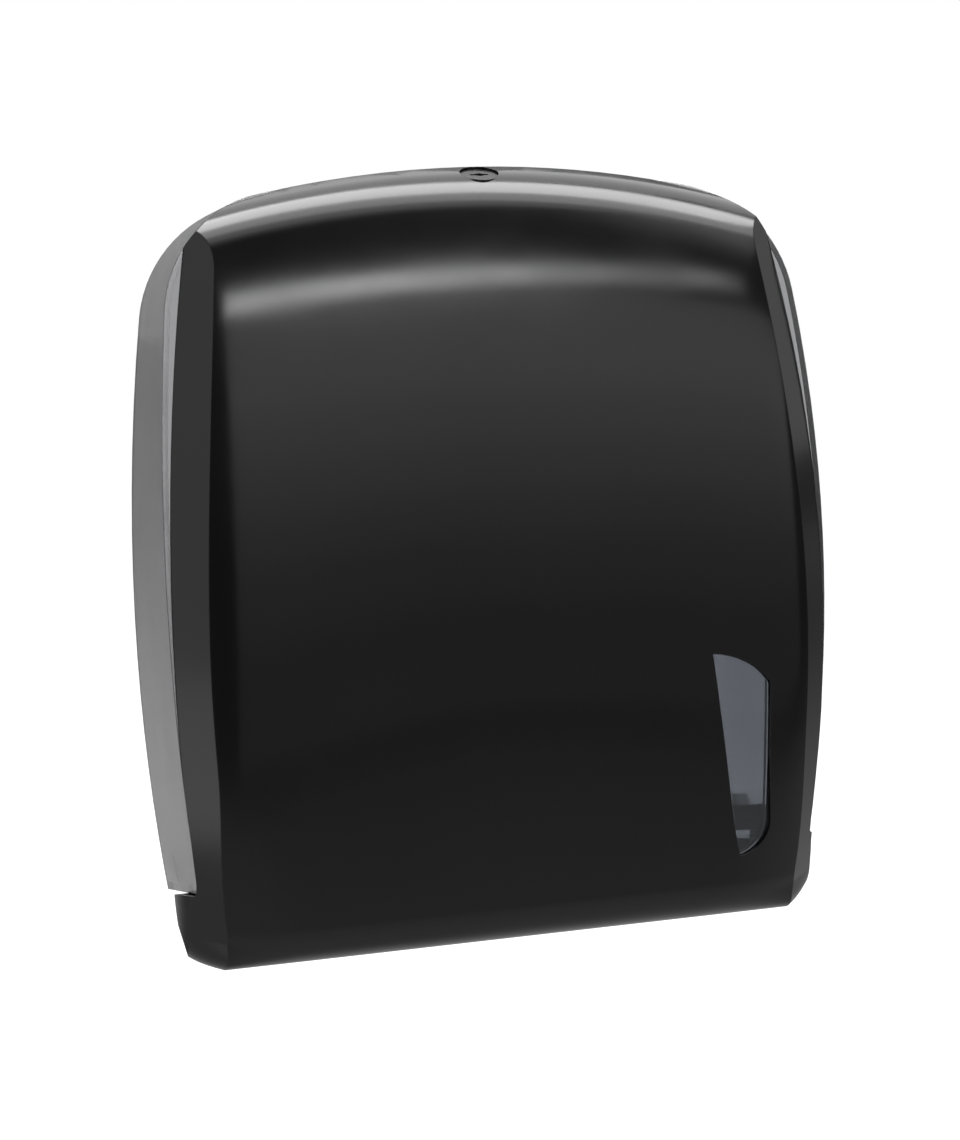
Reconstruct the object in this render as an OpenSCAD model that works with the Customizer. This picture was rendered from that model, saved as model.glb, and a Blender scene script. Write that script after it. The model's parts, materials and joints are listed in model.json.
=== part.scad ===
// Wall-mounted folded towel dispenser: a smoked wall body, a moulded cover that swings down on two
// hinge pins, a level window, and a quarter-turn lock in the crown of the cover.
// The back of the body stands on the wall plane y = 0 and the front faces -Y. The origin is the centre
// of the four wall screws. Depths (d) are measured from the wall, heights (z) from the cover's
// bottom edge.

/* [Case] */
// Width across the belly of the sides
case_w = 299; // [288:1:312]
// Height of the crown above the bottom edge of the cover
case_h = 338.5; // [330:0.5:346]
// Depth from the wall to the flat of the front
case_d = 134; // [130:1:140]
// Radius of the arched top, seen from the front
arch_r = 490; // [460:5:540]
// Radius of the barrel-shaped sides
side_r = 1030; // [950:10:1200]
// Height of the widest place at the wall
belly_z = 148; // [140:1:156]
// Radius of the two top corners
corner_r = 57; // [52:1:64]
// Rise of the case from the wall to the front, degrees
rake = 9.5; // [8:0.5:11]

/* [Cover] */
// Wall of the cover
cover_t = 2.8; // [2.2:0.1:3.4]
// Radius round the arch centre inside which the front is flat
flat_r = 245; // [235:1:255]
// Radius with which the front leans back above the flat
front_r = 540; // [500:10:600]
// Radius of the roll from the front to the top
roll_r = 36; // [30:1:40]
// Slope of the top of the cover, degrees
top_tilt = 12; // [10:0.5:14]
// Distance of the crown line behind the front
crown_back = 80.42; // [79.5:0.02:81.5]
// Distance of the crown line in front of the seam
crown_lead = 5.7; // [5:0.1:6.5]
// What the slanted cheeks take off the corner of front and side, across and back together
cheek_cut = 19.5; // [16:0.5:22]
// Radius of the cheeks, seen along their slant
cheek_r = 610; // [580:10:660]
// Height at which the cheeks are fullest
cheek_z = 83; // [75:1:90]
// Radius of the front bottom edge
bottom_r = 22; // [18:1:26]
// Radius of the back bottom edge of the chin
chin_r = 27; // [22:1:30]
// Flat stretch under the chin
chin_flat = 22; // [16:1:26]
// How much wider the chin is on each side than the case above it
chin_flare = 7.6; // [5:0.1:9]
// Radius of the lower corners of the chin, seen from the front
foot_r = 6; // [4:0.5:8]
// Radius with which the cheeks roll under the chin
cheek_foot_r = 18; // [15:1:24]

/* [Seam] */
// Radius of the seam between body and cover, seen from the side
seam_r = 780; // [740:10:820]
// Depth of the cover where the seam is furthest forward
rim_d = 15.7; // [15:0.1:17]
// Distance below the top at which the seam turns back to the crown
seam_turn_h = 29.5; // [28:0.5:32.5]
// Slope of the seam above that, degrees
seam_turn = 36.5; // [35:0.5:38]
// Gap along the seam
seam_gap = 0.6; // [0.4:0.1:0.9]

/* [Wall body] */
// Side and top wall of the body
body_t = 2.6; // [2.2:0.1:3.2]
// Back plate of the body
back_t = 3; // [2.5:0.1:4]
// Height of the lower edge of the body at the wall
foot_z = -6; // [-8:0.5:-4]
// Height of the lower edge of the body at the seam
skirt_z = 37; // [34:0.5:39]
// Thickness of the floor ledges
ledge_t = 4; // [3.5:0.1:4.5]
// Overlap of the tray on the floor ledges at each side
ledge_lap = 12; // [10:0.5:14]
// Width of the floor ledge along the wall
ledge_back = 11; // [9:0.5:12]

/* [Wall screws] */
// Distance between the screw columns
screw_w = 180; // [150:1:200]
// Distance between the screw rows
screw_h = 200; // [160:1:220]
// Height of the centre of the screw pattern
pattern_z = 168; // [160:1:176]
// Radius of the screw holes
screw_hole_r = 2.75; // [2.25:0.05:3.25]
// Radius of the bosses round the screw holes
screw_boss_r = 9; // [7.5:0.1:11]
// Height of the bosses above the back plate
screw_boss_h = 4; // [3:0.1:6]
// Width of the ribs on the back plate
rib_w = 2; // [1.6:0.1:2.6]

/* [Hinge] */
// Depth of the hinge axis
hinge_d = 48; // [46:0.5:50]
// Height of the hinge axis
hinge_z = 24; // [22.5:0.5:25.5]
// How far the cover swings down, degrees
open_angle = 80; // [60:1:82]
// Radius of the hinge pins
pin_r = 3; // [2.5:0.05:3.4]
// Distance of the inner face of the cover's hinge ears from the outside of the body
hinge_inset = 12.7; // [11.5:0.1:14]
// Thickness of the ears
ear_t = 4.5; // [3.5:0.1:5]
// Radius of the round end of an ear
ear_r = 9; // [8:0.1:9.6]
// Length of the ears' roots behind the flat of the chin, up to the bend of their necks
neck_l = 24; // [22:0.5:26]
// Drop of the necks on the way to the chin
neck_drop = 7; // [6:0.1:8]
// Length of the ears' roots in the chin, in front of its rear curve
ear_l = 10; // [2:1:14]
// Distance of the tops of the ears below the hinge axis, in the chin
ear_top = 4; // [3:0.1:6]
// Radius of the hinge bosses on the body
boss_r = 8; // [6.5:0.1:8.5]
// Wall of the hinge bushes
bush_t = 1.5; // [1:0.1:1.8]
// Radius of the bush flange
bush_flange_r = 6.5; // [6:0.1:7.5]
// Thickness of the bush flange
bush_flange_t = 0.8; // [0.6:0.1:1]
// Radius of the pin heads
pin_head_r = 5; // [4.5:0.1:6]
// Thickness of the pin heads
pin_head_t = 2; // [1.5:0.1:2.2]
// Radial running clearance of turning pieces
run_gap = 0.05; // [0.02:0.01:0.08]
// Axial play of turning pieces
play = 0.3; // [0.2:0.05:0.4]

/* [Outlet tray] */
// Gap between the tray and the heads of the hinge pins
tray_gap = 1.4; // [1:0.1:4]
// Thickness of the tray
tray_t = 3; // [2.5:0.1:3.5]
// Distance of the front of the tray from the wall, along its slope
tray_u = 118; // [112:1:119]
// Height of the front lip above the tray
lip_h = 8; // [6:1:20]
// Height of the side lips above the tray
side_lip_h = 8; // [5:0.5:12]
// Wall of the lips
lip_t = 2.5; // [2:0.1:3]
// Length of the towel slot
slot_l = 200; // [180:1:206]
// Width of the towel slot
slot_w = 34; // [28:0.5:36]
// Distance of the slot's centre line from the wall, along the tray
slot_u = 33; // [31:0.5:35]
// Wall of the throat that lines the slot
throat_t = 2; // [1.6:0.1:2.4]
// Width of the throat's flange on the tray
throat_flange = 4; // [3:0.1:4.5]
// Radius of the tray screw heads
tray_head_r = 3.4; // [3:0.1:4]
// Radius of the tray screws
tray_screw_r = 1.5; // [1.2:0.05:1.8]

/* [Level window] */
// Distance of the window's right edge from the belly of the case
win_side = 35.5; // [33:0.5:38]
// Width of the window at the top of its left edge
win_top_w = 27; // [25:0.5:29]
// Height of the top of the left edge
win_top_z = 130; // [126:0.5:134]
// Width of the window at the bottom of its left edge
win_low_w = 13.3; // [12:0.1:15]
// Height of the bottom of the left edge
win_low_z = 34.8; // [33:0.1:37]
// Distance of the centre of the top edge from the right edge
win_arc_x = 30; // [28:0.5:31]
// Distance of the centre of the top edge below the top of the left edge
win_arc_z = 37.2; // [36:0.1:38]
// Radius of the top edge
win_top_r = 37.3; // [35:0.1:40]
// Radius of the bottom corner
win_low_r = 16.3; // [15:0.1:18]
// Gap between faces that are screwed together
seat_gap = 0.05; // [0.02:0.01:0.1]
// Gap round the window pane
win_gap = 0.25; // [0.15:0.05:0.4]
// Sink of the pane below the front
win_sink = 0.4; // [0.2:0.1:0.8]
// Flange of the pane behind the cover
win_flange = 3.5; // [2.5:0.1:4]
// Thickness of that flange
win_flange_t = 1.6; // [1.2:0.1:2]
// Thickness of the retainer frame
retainer_t = 2; // [1.6:0.1:2.4]
// Width of the retainer frame
retainer_w = 6; // [5:0.1:6.5]
// Radius of the retainer's screw lugs
lug_r = 4; // [3.5:0.1:4.5]
// Radius of the small screws
small_screw_r = 1.25; // [1:0.05:1.5]
// Radius of the small screw heads
small_head_r = 2.6; // [2.2:0.1:2.8]
// Height of the small screw heads
small_head_h = 1.8; // [1.4:0.1:2]

/* [Lock] */
// Distance of the lock axis in front of the crown line
lock_lead = 8.3; // [7.5:0.1:10]
// Radius of the hole in the cover
lock_hole_r = 8.6; // [8:0.1:9]
// Gap between the lock's face and the hole
lock_gap = 0.4; // [0.3:0.05:0.6]
// Sink of the lock's face
lock_sink = 0.4; // [0.2:0.1:0.8]
// Depth of the seat for the lock housing below the top
seat_w = 5.4; // [5:0.1:6]
// Thickness of the housing's flange
flange_t = 2.5; // [2:0.1:3]
// Wall of the housing
housing_t = 2.3; // [1.8:0.1:2.8]
// Length of the housing below its flange
housing_l = 9.5; // [8:0.5:11]
// Distance of the housing screws from the axis
housing_screw_x = 15.5; // [14.8:0.1:16.5]
// Thickness of the cam
cam_t = 2.5; // [2:0.1:3]
// Outer reach of the cam's hook
cam_r = 26; // [25:0.5:28]
// Radius of the cam's hub
cam_hub_r = 8; // [7:0.1:9]
// Distance of the strike post from the lock axis
post_reach = 19; // [18.5:0.5:20]
// Radius of the strike post
post_r = 2.2; // [1.8:0.1:2.5]
// Clearance of the post in the hook
post_gap = 0.6; // [0.5:0.1:0.8]
// Length of the key slot
key_l = 8; // [6:0.1:10]
// Width of the key slot
key_w = 2; // [1.6:0.1:2.4]
// Depth of the key slot
key_d = 6; // [4:0.1:7]
// Thickness of the strike plate
strike_t = 2; // [1.5:0.1:2.5]

/* [Hidden] */

$fn = 64;
fine = 360;
far = 900;
skin = 1;

function unit(v) = v / norm(v);

// Upper crossing of two circles, left of the way from a to b
function cross_point(a, ra, b, rb) =
    let (ab = b - a, dist = norm(ab), u = ab / dist)
    let (k = (ra * ra - rb * rb + dist * dist) / (2 * dist))
    a + k * u + sqrt(ra * ra - k * k) * [-u[1], u[0]];

// Height on the raked outline of a point at depth d and height z
function raked(d, z) = z * cos(rake) - d * sin(rake);

// Seam, crown line, lock and chin, as depths from the wall
seam_d = case_d - rim_d;
ridge_d = case_d - crown_back;
turn_z = case_h - seam_turn_h;
turn_d = ridge_d - crown_lead + seam_turn_h * tan(seam_turn);
seam_z = turn_z - sqrt(pow(seam_r, 2) - pow(turn_d - seam_d + seam_r, 2));
lock_d = ridge_d + lock_lead;
chin_d = case_d - bottom_r - chin_flat;
ear_d = chin_d + ear_l;

// Outline seen along the rake
side_c = [case_w / 2 - side_r, raked(0, belly_z)];
arch_c = [0, raked(ridge_d, case_h) - arch_r];
corner_c = cross_point(side_c, side_r - corner_r, arch_c, arch_r - corner_r);
corner_a = unit(corner_c - arch_c);
corner_s = unit(corner_c - side_c);

// Depth of the front at a place (across, height)
function front_depth(p) =
    let (over = max(norm([p[0], p[1] - arch_z]) - flat_r, 0))
    case_d - front_r + sqrt(pow(front_r, 2) - pow(over, 2));

// Half width of the case at depth d and height z
function side_x(d, z) = side_c[0] + sqrt(pow(side_r, 2) - pow(raked(d, z) - side_c[1], 2));

// Profile of the front, turned about the centre of the arch
arch_z = case_h - arch_r;
front_c = [flat_r, case_d - front_r];
ridge = [arch_r, ridge_d];
tilt_n = [cos(top_tilt), sin(top_tilt)];
tilt_t = [-sin(top_tilt), cos(top_tilt)];
roll_q = ridge - roll_r * tilt_n - front_c;
roll_s = -roll_q * tilt_t + sqrt(pow(roll_q * tilt_t, 2) - roll_q * roll_q + pow(front_r - roll_r, 2));
roll_c = ridge - roll_r * tilt_n + roll_s * tilt_t;
roll_f = unit(roll_c - front_c);

// Cheeks, seen along their slant
cheek_sum = case_w / 2 + case_d - cheek_cut;
cheek_c = [cheek_sum / sqrt(2) - cheek_r, cheek_z];
cheek_foot = cheek_c
    + [sqrt(pow(cheek_r - cheek_foot_r, 2) - pow(cheek_z - cheek_foot_r, 2)), cheek_foot_r - cheek_z];

// Slope of the floor and of the body's lower edge
floor_slope = atan((skirt_z - foot_z) / seam_d);
hinge_u = hinge_d * cos(floor_slope) + (hinge_z - foot_z) * sin(floor_slope);
hinge_v = (hinge_z - foot_z) * cos(floor_slope) - hinge_d * sin(floor_slope);
notch_half = 30;
chin_x = side_x(chin_d, 0) + chin_flare;
ear_x = side_x(hinge_d, hinge_z) - hinge_inset;
ear_out = ear_x + ear_t;
boss_face = ear_out + play;
ear_low = [hinge_d - ear_r * sin(floor_slope), hinge_z - ear_r * cos(floor_slope)];
ear_high = [hinge_d + ear_r * cos(floor_slope), hinge_z + ear_r * sin(floor_slope)];
ear_bend = [chin_d - neck_l, hinge_z - neck_drop];
bush_r = pin_r + run_gap + bush_t;
pin_end = side_x(hinge_d, hinge_z) - body_t / 2;

// Tray, in the frame of the sloping floor
tray_x = ear_x - bush_flange_t - play - pin_head_t - tray_gap;
ledge_x = tray_x - ledge_lap;
tray_top = ledge_t + tray_t;
tray_back = back_t + play;
screw_x = (ledge_x + tray_x) / 2;
screw_us = [ledge_back + tray_head_r, hinge_u + notch_half + 2 * tray_head_r];

// Window
win_right_x = case_w / 2 - win_side;
win_top_x = win_right_x - win_top_w;
win_low_x = win_right_x - win_low_w;
win_top_c = [win_right_x - win_arc_x, win_top_z - win_arc_z];
win_low_c = [win_right_x - win_low_r,
             win_low_z + sqrt(pow(win_low_r, 2) - pow(win_low_r - win_low_w, 2))];
win_lean = atan2(win_low_x - win_top_x, win_top_z - win_low_z);
lug_reach = win_flange + lug_r + 0.5;
retainer_in = cover_t + win_flange_t + 2 * seat_gap;
lug_thread = 1;

// Lock, in the frame of the sloping top
lock_z = case_h - (lock_d - ridge_d) * tan(top_tilt);
plug_r = lock_hole_r - lock_gap;
collar_r = plug_r + 1;
collar_t = 1.6;
housing_r = plug_r + run_gap + housing_t;
housing_low = -seat_w - flange_t - housing_l;
plug_low = housing_low - 0.9;
cam_low = plug_low - cam_t;
spigot_r = 4;
spigot_flat = 2.8;
washer_t = 1;
washer_r = 6;
cam_screw_r = 1.9;
cam_head_r = 4.2;
cam_head_h = 2.4;
strike_w = -12;
strike_half = 17;
strike_y0 = 13;
strike_y1 = 25;
strike_screw_x = 11.5;
post_low = cam_low - 0.4;
pad_x = 20;
pad_y = 11;

black = "#1b1b1c";
smoke = "#8d9096";
steel = "#b9bcc0";
dark = "#2a2b2d";
clear = "#6a6f77";

// Brings heights from the cover's bottom edge to the centre of the wall screws
module place() translate([0, 0, -pattern_z]) children();

module both_sides() {
    children();
    mirror([1, 0, 0]) children();
}

// Extrudes a side view (depth, height) across the middle
module along_x(length) rotate([90, 0, -90]) linear_extrude(length, center = true) children();

// Extrudes a side view between two places across
module between_x(x0, x1) rotate([90, 0, -90]) translate([0, 0, -x1]) linear_extrude(x1 - x0) children();

// Extrudes a front view (across, height) away from the wall
module from_wall(d0, d1) rotate([90, 0, 0]) translate([0, 0, d0]) linear_extrude(d1 - d0) children();

// Extrudes the outline along the rake
module raked_out() rotate([90 - rake, 0, 0]) translate([0, 0, -far / 2]) linear_extrude(far) children();

// Frame of the sloping floor: -Y runs forward along it, Z stands on it
module on_floor() translate([0, 0, foot_z]) rotate([-floor_slope, 0, 0]) children();

// Frame of the lock: Z leaves the top of the cover, Y runs back
module at_lock() translate([0, -lock_d, lock_z]) rotate([top_tilt, 0, 0]) children();

// Cylinder across the case at the hinge axis
module hinge_rod(r, x0, x1)
    translate([x0, -hinge_d, hinge_z]) rotate([0, 90, 0]) cylinder(r = r, h = x1 - x0);

// What a round of radius r takes off a corner whose sides end at directions u and v from c
module round_cut(c, r, u, v, size) difference() {
    polygon([c, c + size * u, c + size * (u + v), c + size * v]);
    translate(c) circle(r = r, $fn = fine);
}

// Half plane behind a line through p, seen along angle a
module behind(p, a, inset)
    translate(p) rotate(a) translate([-far - inset, -far]) square([far, 2 * far]);

// Barrel-shaped outline with an arched top
module outline(inset) difference() {
    intersection() {
        translate(arch_c) circle(r = arch_r - inset, $fn = fine);
        translate(side_c) circle(r = side_r - inset, $fn = 2 * fine);
        translate([-side_c[0], side_c[1]]) circle(r = side_r - inset, $fn = 2 * fine);
    }
    for (m = [0, 1])
        mirror([m, 0]) round_cut(corner_c, corner_r - inset, corner_a, corner_s, 2 * corner_r);
}

// Flat front, lean, roll and sloping top as one profile about the centre of the arch
module dome_profile(inset) {
    square([flat_r, case_d - inset]);
    difference() {
        intersection() {
            translate(front_c) circle(r = front_r - inset, $fn = 2 * fine);
            translate([flat_r, 0]) square([far, case_d]);
            behind(ridge, top_tilt, inset);
        }
        round_cut(roll_c, roll_r - inset, tilt_n, roll_f, 2 * roll_r);
    }
}

module dome(inset)
    translate([0, 0, arch_z]) rotate([90, 0, 0]) rotate_extrude($fn = fine) dome_profile(inset);

// Slanted cheeks at 45 degrees between front and sides, rolled under at the bottom
module cheek_profile(inset) difference() {
    translate(cheek_c) circle(r = cheek_r - inset, $fn = 2 * fine);
    round_cut(cheek_foot, cheek_foot_r - inset, unit(cheek_foot - cheek_c), [0, -1], 3 * cheek_foot_r);
}

module cheeks(inset) intersection_for (m = [0, 1])
    mirror([m, 0, 0]) rotate([0, 0, -45]) rotate([90, 0, 0])
        linear_extrude(far, center = true) cheek_profile(inset);

// Side view of the body: off the wall, behind the seam and above the sloping lower edge
module body_zone(grow) intersection() {
    translate([seam_d - seam_r, seam_z]) circle(r = seam_r + grow, $fn = 2 * fine);
    translate([0, foot_z]) rotate(floor_slope) translate([-far, -grow]) square([2 * far, far]);
    translate([0, -far]) square([far, 2 * far]);
    behind([turn_d, turn_z], seam_turn, -grow);
}

// Side view of everything above the rounded floor of the cover
module chin_floor(inset) difference() {
    translate([0, inset]) square([case_d, case_h]);
    round_cut([case_d - bottom_r, bottom_r], bottom_r - inset, [1, 0], [0, -1], 2 * bottom_r);
    round_cut([case_d - bottom_r - chin_flat, chin_r], chin_r - inset, [-1, 0], [0, -1], 3 * chin_r);
}

// Front view of the chin, with rounded lower corners
module chin_shape(inset) difference() {
    translate([inset - chin_x, inset]) square([2 * (chin_x - inset), skirt_z - 2 * inset]);
    for (m = [0, 1])
        mirror([m, 0])
            round_cut([chin_x - foot_r, foot_r], foot_r - inset, [1, 0], [0, -1], 2 * foot_r);
}

// Side view of the cover: in front of the seam, and a chin that clears the body as it swings
module cover_zone() difference() {
    intersection() {
        chin_floor(0);
        translate([hinge_d, hinge_z]) rotate(floor_slope - 90 + open_angle)
            translate([hinge_v + seam_gap, -far]) square([far, 2 * far]);
    }
    body_zone(seam_gap);
}

// Solid inside the outer skin of the body, or a skin further in
module body_solid(inset) raked_out() outline(inset);

// Solid inside the moulded skin of the cover, or a skin further in
module cover_solid(inset) intersection() {
    union() {
        intersection() {
            body_solid(inset);
            dome(inset);
        }
        from_wall(0, case_d - inset) chin_shape(inset);
    }
    cheeks(inset);
}

module screw_places() for (x = [-1, 1], z = [-1, 1])
    translate([x * screw_w / 2, 0, pattern_z + z * screw_h / 2]) children();

module tray_screw_places() for (x = [-1, 1], u = screw_us)
    on_floor() translate([x * screw_x, -u, 0]) children();

module strike_screw_places() for (x = [-1, 1])
    at_lock() translate([x * strike_screw_x, post_reach, 0]) children();

module housing_screw_places() for (x = [-1, 1])
    at_lock() translate([x * housing_screw_x, 0, 0]) children();

// Ribs that tie the wall screw bosses together
module back_ribs() {
    for (x = [-1, 1])
        translate([x * screw_w / 2 - rib_w / 2, -back_t - screw_boss_h, pattern_z - screw_h / 2])
            cube([rib_w, screw_boss_h + skin, screw_h]);
    for (z = [-1, 1])
        translate([-screw_w / 2, -back_t - screw_boss_h, pattern_z + z * screw_h / 2 - rib_w / 2])
            cube([screw_w, screw_boss_h + skin, rib_w]);
}

module wall_body() color(smoke, 0.6) place() difference() {
    union() {
        difference() {
            intersection() {
                body_solid(0);
                along_x(far) body_zone(0);
            }
            intersection() {
                body_solid(body_t);
                along_x(far) translate([0, foot_z]) rotate(floor_slope) translate([-far, ledge_t])
                    square([2 * far, far]);
                translate([-far, -far - back_t, -far]) cube([2 * far, far, 2 * far]);
            }
            on_floor() translate([-ledge_x, -far, -skin])
                cube([2 * ledge_x, far - ledge_back, ledge_t + 2 * skin]);
            both_sides() on_floor() translate([ledge_x - skin, -hinge_u - notch_half, -skin])
                cube([boss_face - ledge_x + 2 * skin, 2 * notch_half, ledge_t + 2 * skin]);
        }
        screw_places() rotate([90, 0, 0]) cylinder(r = screw_boss_r, h = back_t + screw_boss_h);
        back_ribs();
        both_sides() hinge_rod(boss_r, boss_face, pin_end);
        intersection() {
            body_solid(body_t / 2);
            at_lock() translate([-strike_half, strike_y0, strike_w])
                cube([2 * strike_half, strike_y1 - strike_y0, -strike_w]);
        }
    }
    screw_places() rotate([90, 0, 0]) translate([0, 0, -skin])
        cylinder(r = screw_hole_r, h = back_t + screw_boss_h + 2 * skin);
    both_sides() hinge_rod(pin_r, boss_face - skin, pin_end - skin);
    tray_screw_places() translate([0, 0, -skin]) cylinder(r = tray_screw_r, h = ledge_t + 2 * skin);
    strike_screw_places() translate([0, 0, strike_w - skin]) cylinder(r = small_screw_r, h = 5 + skin);
}

// Round-ended slot, seen from above on the floor
module slot_shape(grow) {
    square([slot_l - slot_w, slot_w + 2 * grow], center = true);
    for (x = [-1, 1]) translate([x * (slot_l - slot_w) / 2, 0]) circle(r = slot_w / 2 + grow);
}

module outlet_tray() color(dark) place() difference() {
    on_floor() union() {
        translate([-tray_x, -tray_u, ledge_t]) cube([2 * tray_x, tray_u, tray_t]);
        translate([-tray_x, -tray_u, ledge_t]) cube([2 * tray_x, lip_t, tray_t + lip_h]);
        for (x = [-tray_x, tray_x - lip_t])
            translate([x, -tray_u, ledge_t]) cube([lip_t, tray_u, tray_t + side_lip_h]);
    }
    on_floor() translate([0, -slot_u, ledge_t - skin]) linear_extrude(tray_t + 2 * skin) slot_shape(0);
    tray_screw_places() translate([0, 0, ledge_t - skin])
        cylinder(r = tray_screw_r, h = tray_t + 2 * skin);
    translate([-far, -tray_back, -far]) cube([2 * far, far, 2 * far]);
}

module outlet_throat() color(black) place() on_floor() translate([0, -slot_u, 0]) difference() {
    union() {
        translate([0, 0, ledge_t - skin]) linear_extrude(tray_t + skin) slot_shape(-run_gap);
        translate([0, 0, tray_top]) linear_extrude(throat_t) slot_shape(throat_flange);
    }
    translate([0, 0, -far / 2]) linear_extrude(far) slot_shape(-throat_t);
}

module tray_screws() color(steel) place() tray_screw_places() {
    translate([0, 0, tray_top]) cylinder(r = tray_head_r, h = small_head_h);
    translate([0, 0, skin / 2]) cylinder(r = tray_screw_r - run_gap, h = tray_top);
}

module hinge_pin() place() {
    hinge_rod(pin_r - run_gap / 2, ear_x - bush_flange_t - play, pin_end - skin - play);
    hinge_rod(pin_head_r, ear_x - bush_flange_t - play - pin_head_t, ear_x - bush_flange_t - play);
}

module right_hinge_pin() color(steel) hinge_pin();

module left_hinge_pin() color(steel) mirror([1, 0, 0]) hinge_pin();

module hinge_bush() place() difference() {
    union() {
        hinge_rod(bush_r - run_gap, ear_x, ear_out);
        hinge_rod(bush_flange_r, ear_x - bush_flange_t, ear_x);
    }
    hinge_rod(pin_r + run_gap, ear_x - bush_flange_t - skin, ear_out + skin);
}

module right_hinge_bush() color(smoke) hinge_bush();

module left_hinge_bush() color(smoke) mirror([1, 0, 0]) hinge_bush();

module strike_plate() color(steel) place() difference() {
    at_lock() union() {
        translate([-strike_half, strike_y0, strike_w - strike_t])
            cube([2 * strike_half, strike_y1 - strike_y0, strike_t]);
        translate([0, post_reach, post_low]) cylinder(r = post_r, h = strike_w - post_low);
    }
    strike_screw_places() translate([0, 0, strike_w - strike_t - skin])
        cylinder(r = small_screw_r, h = strike_t + 2 * skin);
}

module small_screw(seat, length) {
    translate([0, 0, seat - small_head_h]) cylinder(r = small_head_r, h = small_head_h);
    translate([0, 0, seat]) cylinder(r = small_screw_r - run_gap, h = length);
}

module strike_screws() color(steel) place()
    strike_screw_places() small_screw(strike_w - strike_t, strike_t + 4.5);

// Front view of the window
module window_shape(grow) intersection() {
    translate([win_top_x, win_top_z]) rotate(win_lean) translate([-grow, -far]) square([far, 2 * far]);
    translate([-far, -far]) square([far + win_right_x + grow, 2 * far]);
    union() {
        translate(win_top_c) circle(r = win_top_r + grow, $fn = fine);
        translate([-far, -far]) square([2 * far, far + win_top_c[1]]);
    }
    union() {
        translate(win_low_c) circle(r = win_low_r + grow, $fn = fine);
        translate([-far, win_low_c[1]]) square([2 * far, far]);
    }
}

// Places of the retainer's lugs round the window
function win_z(part) = win_low_z + part * (win_top_z - win_low_z);
function left_lug(part) =
    [win_top_x + (win_top_z - win_z(part)) * tan(win_lean) - lug_reach, win_z(part)];
lug_places = [left_lug(0.81), left_lug(0.22), [win_right_x + lug_reach, win_z(0.47)]];

// Side view of a hinge ear: a round end on the axis and a neck that runs into the chin
module ear_shape() {
    translate([hinge_d, hinge_z]) circle(r = ear_r);
    intersection() {
        polygon([ear_low, ear_bend, [ear_bend[0] + 1.7 * neck_drop, 0],
                 [ear_d, 0], [ear_d, hinge_z - ear_top],
                 [hinge_d + 0.6 * (ear_d - hinge_d), hinge_z - ear_top], ear_high]);
        union() {
            chin_floor(skin);
            square([ear_bend[0], case_h]);
        }
    }
}

module front_cover() color(black) place() difference() {
    union() {
        difference() {
            intersection() {
                cover_solid(0);
                along_x(far) cover_zone();
            }
            intersection() {
                cover_solid(cover_t);
                along_x(far) chin_floor(cover_t);
            }
        }
        both_sides() between_x(ear_x, ear_out) ear_shape();
        intersection() {
            dome(cover_t / 2);
            at_lock() translate([-pad_x, -pad_y, -seat_w]) cube([2 * pad_x, 2 * pad_y, seat_w]);
            along_x(far) difference() {
                square([case_d, case_h]);
                body_zone(seam_gap);
            }
        }
        intersection() {
            dome(cover_t / 2);
            difference() {
                for (p = lug_places) translate([p[0], 0, p[1]]) rotate([90, 0, 0])
                    cylinder(r = lug_r, h = case_d);
                dome(retainer_in);
            }
        }
    }
    both_sides() hinge_rod(bush_r, ear_x - skin, ear_out + skin);
    at_lock() translate([0, 0, -seat_w - skin]) cylinder(r = lock_hole_r, h = seat_w + 4 * skin);
    housing_screw_places() translate([0, 0, -seat_w - skin])
        cylinder(r = small_screw_r, h = seat_w - 1.2 + skin);
    from_wall(case_d / 2, case_d + skin) window_shape(0);
    for (p = lug_places) translate([p[0], 0, p[1]]) rotate([90, 0, 0])
        cylinder(r = small_screw_r, h = front_depth(p) - cover_t + lug_thread + run_gap);
}

module level_window() color(clear, 0.7) place() difference() {
    union() {
        intersection() {
            dome(win_sink);
            from_wall(case_d / 2, case_d) window_shape(-win_gap);
        }
        intersection() {
            dome(cover_t + seat_gap);
            from_wall(case_d / 2, case_d) window_shape(win_flange);
        }
    }
    dome(retainer_in - seat_gap);
}

module window_retainer() color(black) place() difference() {
    intersection() {
        dome(retainer_in);
        union() {
            from_wall(case_d / 2, case_d) window_shape(retainer_w);
            for (p = lug_places) translate([p[0], 0, p[1]]) rotate([90, 0, 0])
                cylinder(r = lug_r, h = case_d);
        }
    }
    dome(retainer_in + retainer_t);
    from_wall(0, case_d) window_shape(0);
    for (p = lug_places) translate([p[0], 0, p[1]]) rotate([90, 0, 0])
        cylinder(r = small_screw_r, h = case_d);
}

module lock_housing() color(dark) place() difference() {
    at_lock() union() {
        translate([0, 0, housing_low]) cylinder(r = housing_r, h = housing_l + flange_t);
        translate([-housing_screw_x, -pad_y / 2, -seat_w - flange_t])
            cube([2 * housing_screw_x, pad_y, flange_t]);
        for (x = [-1, 1]) translate([x * housing_screw_x, 0, -seat_w - flange_t])
            cylinder(r = pad_y / 2, h = flange_t);
    }
    at_lock() translate([0, 0, housing_low - skin]) cylinder(r = plug_r + run_gap, h = far);
    at_lock() translate([0, 0, -seat_w - collar_t - play / 2])
        cylinder(r = collar_r + run_gap, h = far);
    housing_screw_places() translate([0, 0, -seat_w - flange_t - skin])
        cylinder(r = small_screw_r, h = flange_t + 2 * skin);
}

module housing_screws() color(steel) place()
    housing_screw_places() small_screw(-seat_w - flange_t, flange_t + seat_w - 1.6);

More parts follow.
